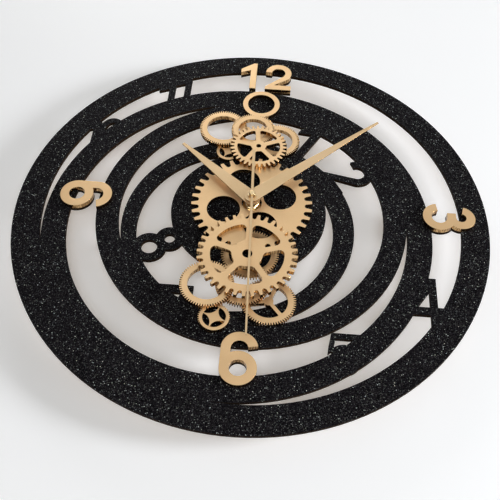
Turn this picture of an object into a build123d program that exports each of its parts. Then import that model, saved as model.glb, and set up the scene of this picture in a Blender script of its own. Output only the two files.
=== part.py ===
from build123d import *
import math
import os

# Wall clock: a pierced black dial, gold gears stacked on it, three hands and a quartz movement behind.
# Millimetres. X runs to the right, Z up towards twelve and Y back to the wall. The origin is the centre
# of the hanger's hole, in the back face of its tab. Dial places are (right, up) from the arbor, and
# heights are counted from the wall towards the viewer.

# Dial plate: four rings and a middle disc, each cut by circles about the arbor or about a centre set off
# from it. A join says how far a ring runs into the one around it on the side where they meet.
dial_radius = 200.0
plate_thickness = 3.0
ring_1_inner_radius = 176.7
ring_2_center = (-11.0, -13.2)
ring_2_join = 3.2
ring_2_width = 20.7
ring_3_join = 6.3
ring_3_width = 19.2
ring_4_outer_center = (-10.5, -15.4)
ring_4_inner_center = (-12.6, -17.9)
ring_4_join = 4.1
ring_4_width = 15.4
disc_center = (-2.6, 1.4)
disc_join = 5.5

# Numerals: single ones, and the smaller digits of ten, eleven and twelve
numeral_height = 44.0
numeral_width = 28.0
numeral_stroke = 7.4
pair_height = 36.0
pair_width = 25.0
pair_stroke = 6.0
five_height = 34.5
flag_reach = 0.26  # how far the flag of a one stands out, as a share of its height

# How far from the arbor the middles of the numerals stand
one_distance = 98.0
two_distance = 96.0
three_distance = 166.6
four_distance = 162.0
five_distance = 151.6
six_distance = 141.7
seven_distance = 111.0
eight_distance = 83.9
nine_distance = 141.9
ten_one_distance = 172.3
ten_zero_distance = 158.5
eleven_distance = 165.2
twelve_distance = 168.6

# Gold board: numerals and gears are cut from it, and the gears lie in four layers of it
layer_thickness = 4.0
fine_tooth_depth = 2.0
fine_teeth = 64
rim_width = 4.4

crown_ring_at = (0.2, 128.6)
crown_ring_radius = 17.3
crown_ring_width = 4.7
upper_left_at = (-31.9, 89.8)
upper_left_radius = 21.5
upper_middle_at = (-4.8, 86.1)
upper_middle_radius = 19.6
upper_right_at = (17.6, 82.2)
upper_right_radius = 20.2
lower_back_at = (2.0, -46.4)
lower_back_radius = 23.5
lower_left_at = (-29.0, -83.2)
lower_left_radius = 21.4
lower_middle_at = (-1.9, -77.3)
lower_middle_radius = 21.4

lower_right_at = (19.6, -90.7)
lower_right_radius = 21.4
lower_right_hub = 3.8
lower_right_spoke = 3.0

upper_spoked_at = (1.6, 62.2)
upper_spoked_radius = 25.0
upper_spoked_teeth = 34
upper_spoked_tooth_depth = 3.6
upper_spoked_hub = 6.5
upper_spoked_rim = 2.6
upper_spoked_bore = 2.2
upper_spoked_spoke = 4.2
upper_spoked_turn = 60.0

small_wheel_rim = 2.6
upper_small_at = (-25.4, 65.1)
upper_small_radius = 10.6
lower_small_at = (-20.6, -110.7)
lower_small_radius = 11.6
lower_small_turn = 25.0
lower_small_gear_at = (-21.2, -108.2)
lower_small_gear_radius = 12.4
lower_small_gear_teeth = 40
lower_small_tooth_depth = 1.2

centre_gear_radius = 50.5
centre_gear_teeth = 36
centre_gear_bore = 8.4
centre_gear_window = 13.8
centre_gear_window_circle = 24.5
centre_gear_turn = 20.0

lower_gear_at = (0.3, -55.5)
lower_gear_radius = 40.0
lower_gear_teeth = 36
lower_gear_bore = 4.0
lower_gear_hub = 12.5
lower_gear_rim = 10.6
lower_gear_spoke = 5.0
lower_gear_turn = 18.0

# Hands: how far they reach, and how wide they are at the arbor and at the tip
hand_thickness = 1.0
hand_gap = 1.0
hour_reach = 86.5
hour_width = 14.0
hour_tip = 2.4
hour_angle = 48.2  # anticlockwise of twelve
minute_reach = 143.5
minute_width = 12.5
minute_tip = 1.9
minute_angle = -48.0
second_reach = 133.3
second_tail = 49.5
second_width = 2.4
second_tip = 1.4
second_angle = -177.9
second_hub = 2.6
second_thickness = 0.6

# Arbors on the clock's axis, from the inside out, and what they turn in
arbor_clearance = 0.05
second_arbor_radius = 0.5
minute_tube_radius = 1.6
hour_tube_radius = 2.55
bushing_radius = 4.0
nut_across_flats = 10.0
nut_thickness = 2.6
tube_proud = 0.6
tube_gap = 0.2
collet_length = 1.4
collet_wall = 1.4
cap_wall = 0.8
cap_crown = 0.7
minute_nut_thickness = 1.2
minute_nut_wall = 1.6
bushing_flange = 2.0
flange_thickness = 1.0
washer_thickness = 0.8
washer_width = 3.4
spacer_radius = 10.4

# Quartz movement
case_top = 28.0
case_bottom = -30.0
case_depth = 16.5
case_corner = 4.0
case_wall = 1.5
cover_recess = 1.5
cover_thickness = 1.5
cover_ledge = 1.2
cover_clearance = 0.15
bay_height = 15.0
battery_radius = 7.1
battery_length = 50.5
battery_nub = 1.0
battery_nub_radius = 2.75
battery_clearance = 0.3
contact_thickness = 0.5
contact_width = 8.0
leaf_rise = 1.4

# Hanger: a steel strip under the movement's nut, bent back over the case, with the hole above it
hanger_width = 24.0
hanger_thickness = 0.8
hanger_hole_radius = 3.5
hang_height = 36.0
tab_back = 1.5
tab_top = 8.0
hanger_foot = 10.0
hanger_clearance = 0.4
rubber_thickness = 1.0
rubber_radius = 9.0

# Wheels of the movement: tooth counts, and the heights of their faces from the wall
pivot_radius = 0.6
bearing_depth = 1.0
end_play = 0.1
wheel_thickness = 0.75
rotor_pinion_teeth = 12
intermediate_teeth = 60
intermediate_pinion_teeth = 10
seconds_teeth = 60
seconds_pinion_teeth = 8
third_teeth = 60
third_pinion_teeth = 8
centre_teeth = 64
cannon_teeth = 12
minute_teeth = 36
minute_pinion_teeth = 10
hour_teeth = 40
knob_pinion_teeth = 12
rotor_distance = 7.92
intermediate_distance = 11.2
third_distance = 10.8
motion_distance = 10.0
rotor_turn = 120.0
intermediate_turn = 150.0
third_turn = 30.0
minute_wheel_turn = 90.0
knob_turn = 60.0
seconds_wheel_height = 4.5
intermediate_wheel_height = 6.0
third_wheel_height = 7.1
centre_wheel_height = 8.7
minute_wheel_height = 10.3
hour_wheel_height = 12.2
stud_radius = 0.8
knob_shaft_radius = 0.8
knob_radius = 5.0
knob_thickness = 1.2

# Motor and circuit
magnet_radius = 2.5
magnet_height = 7.5
magnet_length = 2.7
stator_gap = 0.5
stator_thickness = 0.8
stator_rim = 2.2
stator_clearance = 0.3
stator_right = -1.2
stator_foot = 10.6
stator_top = 25.0
stator_arm = 3.5
stator_pole = 4.4
core_height = 2.0
core_drop = 2.6
bobbin_height = 5.4
bobbin_flange = 0.8
bobbin_wall = 0.6
coil_size = 4.8
board_thickness = 0.8
board_width = 14.0
board_height = 16.5
board_clearance = 0.2
board_rise = -1.0
board_depth = 12.2
post_radius = 1.2
crystal_radius = 1.0
crystal_length = 6.0
chip_radius = 3.0
chip_height = 1.2


def at_height(height):
    """Plane parallel to the dial at a height from the wall, with the arbor at its centre."""
    return Plane(origin=(0, tab_back - height, -hang_height), x_dir=(1, 0, 0), z_dir=(0, -1, 0))


def polar(distance, angle, start=(0, 0)):
    """Dial place at a distance and an angle in degrees from a starting place."""
    turn = math.radians(angle)
    return (start[0] + distance * math.cos(turn), start[1] + distance * math.sin(turn))


def keep(piece, name):
    """Labels a finished piece and writes it."""
    piece.part.label = name
    export_step(piece.part, f"parts/{name}.step")


os.makedirs("parts", exist_ok=True)

# Heights from the wall of the faces that the stack rests on
case_front = case_depth
case_floor = case_front - case_wall
plate_back = case_front + hanger_thickness + rubber_thickness
dial_face = plate_back + plate_thickness
layer_1 = dial_face
layer_2 = layer_1 + layer_thickness
layer_3 = layer_2 + layer_thickness
layer_4 = layer_3 + layer_thickness
gear_top = layer_4 + layer_thickness
hour_height = gear_top + hand_gap
hour_tube_top = hour_height + hand_thickness + tube_proud
minute_height = hour_tube_top + collet_length
minute_tube_top = minute_height + hand_thickness + minute_nut_thickness - tube_gap
second_height = minute_tube_top + collet_length
second_arbor_top = second_height + second_thickness + tube_proud
nut_seat = layer_3 + washer_thickness
bushing_top = nut_seat + nut_thickness + tube_proud
bore_radius = bushing_radius + arbor_clearance


# Strokes that the digits are put together from

def bar(*corners):
    """Flat shape with straight sides through the corners."""
    with BuildSketch() as shape:
        with BuildLine():
            Polyline(*corners, close=True)
        make_face()
    return shape.sketch


def bow(center, radius, stroke, start, sweep):
    """Curved stroke of a given width along the inside of a circle."""
    with BuildSketch() as shape:
        with BuildLine():
            outer = CenterArc(center, radius, start, sweep)
            inner = CenterArc(center, radius - stroke, start, sweep)
            Line(outer @ 0, inner @ 0)
            Line(outer @ 1, inner @ 1)
        make_face()
    return shape.sketch


def hoop(center, radius, stroke):
    """Closed round stroke."""
    with BuildSketch() as shape:
        with Locations(center):
            Circle(radius)
            Circle(radius - stroke, mode=Mode.SUBTRACT)
    return shape.sketch


def joined(*strokes):
    """One flat shape out of several strokes."""
    with BuildSketch() as shape:
        for stroke in strokes:
            add(stroke)
    return shape.sketch


# Digits, each centred in a box of the given height and width

def zero(height, width, stroke):
    with BuildSketch() as shape:
        Ellipse(width / 2, height / 2)
        Ellipse(width / 2 - stroke, height / 2 - stroke, mode=Mode.SUBTRACT)
    return shape.sketch


def one(height, width, stroke):
    top = height / 2
    reach = flag_reach * height
    right = (stroke + reach) / 2
    left = right - stroke
    return bar(
        (right, -top),
        (right, top),
        (left + 0.45 * stroke, top),
        (left - reach, top - 0.25 * height),
        (left - reach, top - 0.39 * height),
        (left, top - 0.28 * height),
        (left, -top),
    )


def two(height, width, stroke):
    top, side = height / 2, width / 2
    center = (0, top - side)
    hook = bow(center, side, stroke, -38, 213)
    shoulder = polar(side, -38, center)
    armpit = polar(side - stroke, -38, center)
    foot = bar(
        armpit,
        shoulder,
        (1.45 * stroke - side, stroke - top),
        (side, stroke - top),
        (side, -top),
        (-side, -top),
        (-side, 0.6 * stroke - top),
    )
    return joined(hook, foot)


def three(height, width, stroke):
    lower = width / 2
    upper = (height + stroke) / 2 - lower
    low_center = (0, lower - height / 2)
    high_center = (0, height / 2 - upper)
    waist = low_center[1] + lower - stroke / 2
    tongue = 0.6 * stroke
    return joined(
        bow(low_center, lower, stroke, -170, 260),
        bow(high_center, upper, stroke, -90, 258),
        bar(
            (-tongue, waist - stroke / 2),
            (0, waist - stroke / 2),
            (0, waist + stroke / 2),
            (-tongue, waist + stroke / 2),
        ),
    )


def four(height, width, stroke):
    top, side = height / 2, width / 2
    right = side - 0.16 * width
    left = right - 0.8 * stroke
    low = 0.21 * height - top
    high = low + stroke
    with BuildSketch() as shape:
        add(bar(
            (right, top),
            (left, top),
            (-side, high),
            (-side, low),
            (left, low),
            (left, -top),
            (right, -top),
            (right, low),
            (side, low),
            (side, high),
            (right, high),
        ))
        add(bar(
            (left, high),
            (left, high + 0.32 * height),
            (1.1 * stroke - side, high),
        ), mode=Mode.SUBTRACT)
    return shape.sketch


def five(height, width, stroke):
    top, side = height / 2, width / 2
    center = (0, side - top)
    return joined(
        bow(center, side, stroke, -155, 305),
        bar((0.1 * width - side, top), (side, top), (side, top - 0.85 * stroke), (0.1 * width - side, top - 0.85 * stroke)),
        bar(
            (0.1 * width - side, top),
            (0.1 * width - side + 0.7 * stroke, top),
            (0.7 * stroke - side, center[1] + 0.6 * side),
            (-side, center[1] + 0.3 * side),
            (0.02 * width - side, center[1] + 0.8 * side),
        ),
    )


def six(height, width, stroke):
    top, side = height / 2, width / 2
    low_center = (0, side - top)
    high_center = (0, top - side)
    return joined(
        hoop(low_center, side, stroke),
        bow(high_center, side, stroke, 12, 168),
        bar(
            (-side, low_center[1]),
            (stroke - side, low_center[1]),
            (stroke - side, high_center[1]),
            (-side, high_center[1]),
        ),
    )


def seven(height, width, stroke):
    top, side = height / 2, width / 2
    return bar(
        (-side, top),
        (side, top),
        (side, top - stroke),
        (stroke - 0.45 * side, -top),
        (-0.45 * side, -top),
        (side - 1.25 * stroke, top - stroke),
        (-side, top - stroke),
    )


def eight(height, width, stroke):
    lower = width / 2
    upper = (height + stroke) / 2 - lower
    return joined(
        hoop((0, lower - height / 2), lower, stroke),
        hoop((0, height / 2 - upper), upper, stroke),
    )


def nine(height, width, stroke):
    return six(height, width, stroke).rotate(Axis.Z, 180)


single = (numeral_height, numeral_width, numeral_stroke)
pair = (pair_height, pair_width, pair_stroke)


# Each numeral's digits, with where they stand on the dial and how far they are turned
gold_numerals = {
    "numeral_12": [(one(*pair), polar(twelve_distance, 95.0), 0), (two(*pair), polar(twelve_distance, 85.1), 0)],
    "numeral_3": [(three(*single), polar(three_distance, 1.9), -90)],
    "numeral_6": [(six(*single), polar(six_distance, -89.8), 0)],
    "numeral_9": [(nine(*single), polar(nine_distance, 178.1), 90)],
}
black_numerals = [
    (one(*single), polar(one_distance, 64.6), -30),
    (two(*single), polar(two_distance, 30.0), -60),
    (four(*single), polar(four_distance, -28.8), 0),
    (five(five_height, pair_width, pair_stroke), polar(five_distance, -58.8), 0),
    (seven(pair_height, numeral_width, numeral_stroke), polar(seven_distance, -119.1), 0),
    (eight(*single), polar(eight_distance, -151.9), -58),
    (one(*pair), polar(ten_one_distance, 153.1), 0),
    (zero(*pair), polar(ten_zero_distance, 148.4), 0),
    (one(*pair), polar(eleven_distance, 123.6), 0),
    (one(*pair), polar(eleven_distance, 117.7), 0),
]
for digits in gold_numerals.values():
    black_numerals.extend(digits)

# Ring edges, each from the one around it
ring_2_offset = math.hypot(*ring_2_center)
ring_2_outer_radius = ring_1_inner_radius - ring_2_offset + ring_2_join
ring_2_inner_radius = ring_2_outer_radius - ring_2_width
ring_3_outer_radius = ring_2_inner_radius - ring_2_offset + ring_3_join
ring_3_inner_radius = ring_3_outer_radius - ring_3_width
ring_4_outer_radius = ring_3_inner_radius - math.hypot(*ring_4_outer_center) + ring_4_join
ring_4_inner_radius = ring_4_outer_radius - ring_4_width
disc_radius = ring_4_inner_radius - math.dist(disc_center, ring_4_inner_center) + disc_join

# The crescent slots between the rings, with the black numerals left standing across them
with BuildSketch() as slots:
    Circle(ring_1_inner_radius)
    with Locations(ring_2_center):
        Circle(ring_2_outer_radius, mode=Mode.SUBTRACT)
        Circle(ring_2_inner_radius)
    Circle(ring_3_outer_radius, mode=Mode.SUBTRACT)
    Circle(ring_3_inner_radius)
    with Locations(ring_4_outer_center):
        Circle(ring_4_outer_radius, mode=Mode.SUBTRACT)
    with Locations(ring_4_inner_center):
        Circle(ring_4_inner_radius)
    with Locations(disc_center):
        Circle(disc_radius, mode=Mode.SUBTRACT)
    for digit, place, turn in black_numerals:
        with Locations(Location(place, turn)):
            add(digit, mode=Mode.SUBTRACT)

with BuildPart() as dial_plate:
    with BuildSketch(at_height(plate_back)):
        Circle(dial_radius)
        add(slots.sketch, mode=Mode.SUBTRACT)
        Circle(bore_radius, mode=Mode.SUBTRACT)
    extrude(amount=plate_thickness)
keep(dial_plate, "dial_plate")

for name, digits in gold_numerals.items():
    with BuildPart() as numeral:
        with BuildSketch(at_height(dial_face)):
            for digit, place, turn in digits:
                with Locations(Location(place, turn)):
                    add(digit)
        extrude(amount=layer_thickness)
    keep(numeral, name)


# Gold gears

def toothed(tip_radius, depth, teeth, tip_share=0.3, root_share=0.72, turn=0.0):
    """Disc with straight-sided teeth: the shares say how much of the pitch a tooth fills."""
    pitch = 360 / teeth
    root_radius = tip_radius - depth
    corners = []
    for tooth in range(teeth):
        middle = turn + tooth * pitch
        corners.append(polar(root_radius, middle - root_share * pitch / 2))
        corners.append(polar(tip_radius, middle - tip_share * pitch / 2))
        corners.append(polar(tip_radius, middle + tip_share * pitch / 2))
        corners.append(polar(root_radius, middle + root_share * pitch / 2))
    return bar(*corners)


def scalloped(tip_radius, teeth, turn=0.0):
    """Disc with coarse pointed teeth between round-bottomed notches."""
    pitch_length = 2 * math.pi * tip_radius / teeth
    notch = 0.24 * pitch_length
    mouth = 0.40 * pitch_length
    center = tip_radius - 1.9 * notch
    past = tip_radius + notch
    with BuildSketch() as shape:
        Circle(tip_radius)
        with PolarLocations(0, teeth, start_angle=turn):
            with Locations((center, 0)):
                Circle(notch, mode=Mode.SUBTRACT)
            add(bar((center, -notch), (past, -mouth), (past, mouth), (center, notch)), mode=Mode.SUBTRACT)
    return shape.sketch


def window(outer_radius, hub_radius, spoke_width, spokes, corner):
    """Opening between two spokes, centred on the X axis, with rounded corners."""
    half = 180 / spokes
    with BuildSketch() as shape:
        add(bow((0, 0), outer_radius, outer_radius - hub_radius, -half, 2 * half))
        for side in (-1, 1):
            with Locations(Location((0, 0), side * half)):
                Rectangle(2 * outer_radius, spoke_width, align=(Align.MIN, Align.CENTER), mode=Mode.SUBTRACT)
        fillet(shape.vertices(), corner)
    return shape.sketch


def petals(rim_inner, turn):
    """Four lens openings that leave a four-pointed star inside a rim."""
    with BuildSketch() as lens:
        Circle(rim_inner)
        with Locations((1.42 * rim_inner, 0)):
            Circle(0.96 * rim_inner, mode=Mode.INTERSECT)
    with BuildSketch() as shape:
        with PolarLocations(0, 4, start_angle=turn):
            add(lens.sketch)
    return shape.sketch


def flat_gear(name, blank, openings, place, height):
    """Gear cut from the gold board and laid at a height from the wall."""
    with BuildPart() as gear:
        with BuildSketch(at_height(height)):
            with Locations(place):
                add(blank)
                for opening in openings:
                    add(opening, mode=Mode.SUBTRACT)
        extrude(amount=layer_thickness)
    keep(gear, name)


def disc(radius):
    with BuildSketch() as shape:
        Circle(radius)
    return shape.sketch


def ring_gear(name, radius, place, height, turn=0.0):
    """Fine-toothed ring with an open middle."""
    bore = radius - fine_tooth_depth - rim_width
    flat_gear(name, toothed(radius, fine_tooth_depth, fine_teeth, turn=turn), [disc(bore)], place, height)


flat_gear(
    "crown_ring",
    disc(crown_ring_radius),
    [disc(crown_ring_radius - crown_ring_width)],
    crown_ring_at,
    layer_1,
)
ring_gear("upper_right_gear", upper_right_radius, upper_right_at, layer_1)
ring_gear("lower_back_gear", lower_back_radius, lower_back_at, layer_1)
ring_gear("upper_left_gear", upper_left_radius, upper_left_at, layer_2)
ring_gear("lower_middle_gear", lower_middle_radius, lower_middle_at, layer_2)
ring_gear("upper_middle_gear", upper_middle_radius, upper_middle_at, layer_3)
ring_gear("lower_left_gear", lower_left_radius, lower_left_at, layer_3)

lower_right_window = window(
    lower_right_radius - fine_tooth_depth - rim_width, lower_right_hub, lower_right_spoke, 3, 0.8
)
flat_gear(
    "lower_right_gear",
    toothed(lower_right_radius, fine_tooth_depth, fine_teeth),
    [lower_right_window.rotate(Axis.Z, 10 + 120 * k) for k in range(3)],
    lower_right_at,
    layer_1,
)

upper_spoked_window = window(
    upper_spoked_radius - upper_spoked_tooth_depth - upper_spoked_rim, upper_spoked_hub, upper_spoked_spoke, 5, 1.6
)
flat_gear(
    "upper_spoked_gear",
    toothed(upper_spoked_radius, upper_spoked_tooth_depth, upper_spoked_teeth, 0.34, 0.7),
    [upper_spoked_window.rotate(Axis.Z, upper_spoked_turn + 72 * k) for k in range(5)] + [disc(upper_spoked_bore)],
    upper_spoked_at,
    layer_4,
)

flat_gear(
    "upper_small_wheel",
    disc(upper_small_radius),
    [petals(upper_small_radius - small_wheel_rim, 20)],
    upper_small_at,
    layer_1,
)
flat_gear(
    "lower_small_wheel",
    disc(lower_small_radius),
    [petals(lower_small_radius - small_wheel_rim, lower_small_turn)],
    lower_small_at,
    layer_2,
)
flat_gear(
    "lower_small_gear",
    toothed(lower_small_gear_radius, lower_small_tooth_depth, lower_small_gear_teeth),
    [disc(lower_small_radius - small_wheel_rim)],
    lower_small_gear_at,
    layer_1,
)

centre_windows = [
    disc(centre_gear_window).moved(Location(polar(centre_gear_window_circle, centre_gear_turn + 90 * k)))
    for k in range(4)
]
flat_gear(
    "centre_gear",
    scalloped(centre_gear_radius, centre_gear_teeth),
    centre_windows + [disc(centre_gear_bore)],
    (0, 0),
    layer_3,
)

lower_gear_window = window(lower_gear_radius - lower_gear_rim, lower_gear_hub, lower_gear_spoke, 5, 4.0)
flat_gear(
    "lower_gear",
    scalloped(lower_gear_radius, lower_gear_teeth, 5.0),
    [lower_gear_window.rotate(Axis.Z, lower_gear_turn + 36 + 72 * k) for k in range(5)] + [disc(lower_gear_bore)],
    lower_gear_at,
    layer_4,
)


# Round pieces on the clock's axis

def sleeve(outer_radius, inner_radius, low, high):
    """Tube about the arbor between two heights, joined to the piece being built."""
    with BuildSketch(at_height(low)) as ring:
        Circle(outer_radius)
        Circle(inner_radius, mode=Mode.SUBTRACT)
    extrude(ring.sketch, amount=high - low)


with BuildPart() as centre_spacer:
    sleeve(spacer_radius, bore_radius, dial_face, layer_3)
keep(centre_spacer, "centre_spacer")

with BuildPart() as rubber_washer:
    sleeve(rubber_radius, bore_radius, case_front + hanger_thickness, plate_back)
keep(rubber_washer, "rubber_washer")

with BuildPart() as brass_washer:
    sleeve(bore_radius + washer_width, bore_radius, layer_3, nut_seat)
keep(brass_washer, "brass_washer")

with BuildPart() as hex_nut:
    with BuildSketch(at_height(nut_seat)):
        RegularPolygon(nut_across_flats / 2, 6, major_radius=False)
        Circle(bore_radius, mode=Mode.SUBTRACT)
    extrude(amount=nut_thickness)
    chamfer(hex_nut.faces().sort_by(Axis.Y)[0].outer_wire().edges(), 0.5)
keep(hex_nut, "hex_nut")

with BuildPart() as threaded_bushing:
    sleeve(bushing_radius, hour_tube_radius + arbor_clearance, case_floor, bushing_top)
    flange_back = case_floor - flange_thickness
    sleeve(bushing_radius + bushing_flange, hour_tube_radius + arbor_clearance, flange_back, case_floor)
keep(threaded_bushing, "threaded_bushing")


# Hands

def blade(reach, width, tip, bore, angle):
    """Tapered hand from a round boss at the arbor to a narrow tip, turned from twelve."""
    with BuildSketch() as shape:
        Circle(width / 2)
        add(bar((-width / 2, 0), (width / 2, 0), (tip / 2, reach), (-tip / 2, reach)))
        Circle(bore, mode=Mode.SUBTRACT)
    return shape.sketch.rotate(Axis.Z, angle)


hour_bore = hour_tube_radius + arbor_clearance
minute_bore = minute_tube_radius + arbor_clearance
cap_tube_radius = second_arbor_radius + cap_wall

with BuildPart() as hour_hand:
    with BuildSketch(at_height(hour_height)):
        add(blade(hour_reach, hour_width, hour_tip, hour_bore, hour_angle))
    extrude(amount=hand_thickness)
keep(hour_hand, "hour_hand")

with BuildPart() as hour_hand_collet:
    sleeve(hour_bore + collet_wall, hour_bore, bushing_top + tube_proud, hour_height)
keep(hour_hand_collet, "hour_hand_collet")

with BuildPart() as minute_hand:
    with BuildSketch(at_height(minute_height)):
        add(blade(minute_reach, minute_width, minute_tip, minute_bore, minute_angle))
    extrude(amount=hand_thickness)
keep(minute_hand, "minute_hand")

with BuildPart() as minute_hand_collet:
    sleeve(minute_bore + collet_wall, minute_bore, hour_tube_top + tube_gap, minute_height)
keep(minute_hand_collet, "minute_hand_collet")

with BuildPart() as minute_hand_nut:
    with BuildSketch(at_height(minute_height + hand_thickness)):
        RegularPolygon(minute_bore + minute_nut_wall, 6, major_radius=False)
        Circle(minute_bore, mode=Mode.SUBTRACT)
    extrude(amount=minute_nut_thickness)
keep(minute_hand_nut, "minute_hand_nut")

with BuildPart() as second_hand:
    with BuildSketch(at_height(second_height)):
        Circle(second_hub)
        pointer = bar(
            (-second_width / 2, -second_tail),
            (second_width / 2, -second_tail),
            (second_tip / 2, second_reach),
            (-second_tip / 2, second_reach),
        )
        add(pointer.rotate(Axis.Z, second_angle))
        Circle(cap_tube_radius + arbor_clearance, mode=Mode.SUBTRACT)
    extrude(amount=second_thickness)
keep(second_hand, "second_hand")

with BuildPart() as second_hand_cap:
    cap_low = minute_tube_top + 2 * tube_gap
    sleeve(cap_tube_radius, second_arbor_radius + arbor_clearance, cap_low, second_height)
    sleeve(cap_tube_radius, second_arbor_radius + arbor_clearance, second_height, second_arbor_top + end_play)
    with BuildSketch(at_height(second_height + second_thickness)):
        Circle(second_hub)
        Circle(second_arbor_radius + arbor_clearance, mode=Mode.SUBTRACT)
    extrude(amount=second_arbor_top + end_play - second_height - second_thickness)
    with BuildSketch(at_height(second_arbor_top + end_play)):
        Circle(second_hub)
    extrude(amount=cap_crown)
    fillet(second_hand_cap.faces().sort_by(Axis.Y)[0].edges(), 0.8 * cap_crown)
keep(second_hand_cap, "second_hand_cap")

# Movement case, back cover and battery
case_height = case_top - case_bottom
inner_width = battery_length + 2 * battery_clearance + contact_thickness + leaf_rise
case_width = inner_width + 2 * case_wall
bay_low = case_bottom + case_wall
bay_middle = bay_low + bay_height / 2
well_low = bay_low + bay_height + case_wall
well_high = case_top - case_wall
cover_height = well_high - well_low
cover_front = cover_recess + cover_thickness
battery_height = case_floor - battery_clearance - battery_radius

intermediate_at = polar(intermediate_distance, intermediate_turn)
rotor_at = polar(rotor_distance, rotor_turn, intermediate_at)
third_at = polar(third_distance, third_turn)
minute_wheel_at = polar(motion_distance, minute_wheel_turn)
motion_module = 2 * motion_distance / (cannon_teeth + minute_teeth)
knob_distance = motion_module * (minute_teeth + knob_pinion_teeth) / 2
knob_at = polar(knob_distance, knob_turn, minute_wheel_at)
pivots = [intermediate_at, rotor_at, third_at]
pivot_bore = pivot_radius + arbor_clearance
knob_bore = knob_shaft_radius + arbor_clearance
well_left = cover_ledge - inner_width / 2
stator_left = well_left + stator_clearance
board_center = (well_left + board_clearance + board_width / 2, board_rise)
board_posts = [
    (board_center[0] - board_width / 2 + 2.5, board_center[1] - board_height / 2 + 2.5),
    (board_center[0] + board_width / 2 - 2.5, board_center[1] + board_height / 2 - 2.5),
]

with BuildPart() as movement_case:
    with BuildSketch(at_height(0)):
        with Locations((0, (case_top + case_bottom) / 2)):
            RectangleRounded(case_width, case_height, case_corner)
    extrude(amount=case_depth)
    chamfer(movement_case.faces().sort_by(Axis.Y)[0].edges(), 0.6)
    with BuildSketch(at_height(0)):
        with Locations((0, (well_low + well_high) / 2)):
            Rectangle(inner_width, cover_height)
    extrude(amount=cover_front, mode=Mode.SUBTRACT)
    with BuildSketch(at_height(cover_front)):
        with Locations((0, (well_low + well_high - cover_ledge) / 2)):
            Rectangle(inner_width - 2 * cover_ledge, cover_height - cover_ledge)
    extrude(amount=case_floor - cover_front, mode=Mode.SUBTRACT)
    with BuildSketch(at_height(0)):
        with Locations((0, bay_middle)):
            Rectangle(inner_width, bay_height)
    extrude(amount=case_floor, mode=Mode.SUBTRACT)
    with BuildSketch(at_height(minute_wheel_height - 0.3)):
        with Locations(minute_wheel_at):
            Circle(stud_radius)
    extrude(amount=case_floor - minute_wheel_height + 0.3)
    with BuildSketch(at_height(board_depth + board_thickness)):
        with Locations(*board_posts):
            Circle(post_radius)
    extrude(amount=case_floor - board_depth - board_thickness)
    with BuildSketch(at_height(case_floor)):
        with Locations(*pivots):
            Circle(pivot_bore)
        with Locations(knob_at):
            Circle(knob_bore)
    extrude(amount=bearing_depth, mode=Mode.SUBTRACT)
    with BuildSketch(at_height(case_floor)):
        Circle(bore_radius)
    extrude(amount=case_wall, mode=Mode.SUBTRACT)
keep(movement_case, "movement_case")

with BuildPart() as movement_back_cover:
    with BuildSketch(at_height(cover_recess)):
        with Locations((0, (well_low + well_high) / 2)):
            Rectangle(inner_width - 2 * cover_clearance, cover_height - 2 * cover_clearance)
        with Locations(knob_at):
            Circle(knob_bore, mode=Mode.SUBTRACT)
    extrude(amount=cover_thickness)
    with BuildSketch(at_height(cover_front - bearing_depth)):
        with Locations(*pivots):
            Circle(pivot_bore)
        Circle(second_arbor_radius + arbor_clearance)
    extrude(amount=bearing_depth, mode=Mode.SUBTRACT)
keep(movement_back_cover, "movement_back_cover")

contact_face = inner_width / 2 - contact_thickness
nub_end = contact_face - battery_clearance
with BuildPart() as battery:
    with BuildSketch(Plane(at_height(battery_height).origin, x_dir=(1, 0, 0), z_dir=(0, -1, 0))):
        with BuildLine():
            Polyline(
                (nub_end - battery_length, bay_middle),
                (nub_end - battery_length, bay_middle + battery_radius),
                (nub_end - battery_nub, bay_middle + battery_radius),
                (nub_end - battery_nub, bay_middle + battery_nub_radius),
                (nub_end, bay_middle + battery_nub_radius),
                (nub_end, bay_middle),
                close=True,
            )
        make_face()
    battery_axis = Axis((0, tab_back - battery_height, bay_middle - hang_height), (1, 0, 0))
    revolve(axis=battery_axis)
    fillet(battery.edges().filter_by(GeomType.CIRCLE).filter_by(lambda e: e.radius > battery_radius - 0.1), 0.5)
keep(battery, "battery")

with BuildPart() as positive_contact:
    with BuildSketch(at_height(battery_height - contact_width / 2)):
        with Locations((inner_width / 2 - contact_thickness / 2, bay_middle)):
            Rectangle(contact_thickness, contact_width)
    extrude(amount=contact_width)
keep(positive_contact, "positive_contact")

flat_end = nub_end - battery_length
leaf_crest = flat_end - battery_clearance
bay_end = -inner_width / 2
with BuildPart() as negative_contact:
    with BuildSketch(at_height(battery_height - contact_width / 2)):
        with BuildLine():
            Polyline(
                (bay_end, bay_middle - contact_width / 2),
                (bay_end + contact_thickness, bay_middle - contact_width / 2),
                (leaf_crest, bay_middle),
                (bay_end + contact_thickness + 0.2, bay_middle + contact_width / 2),
                (bay_end + 0.2, bay_middle + contact_width / 2),
                (leaf_crest - contact_thickness, bay_middle),
                (bay_end, bay_middle - contact_width / 2 + contact_thickness),
                close=True,
            )
        make_face()
    extrude(amount=contact_width)
keep(negative_contact, "negative_contact")

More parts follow.
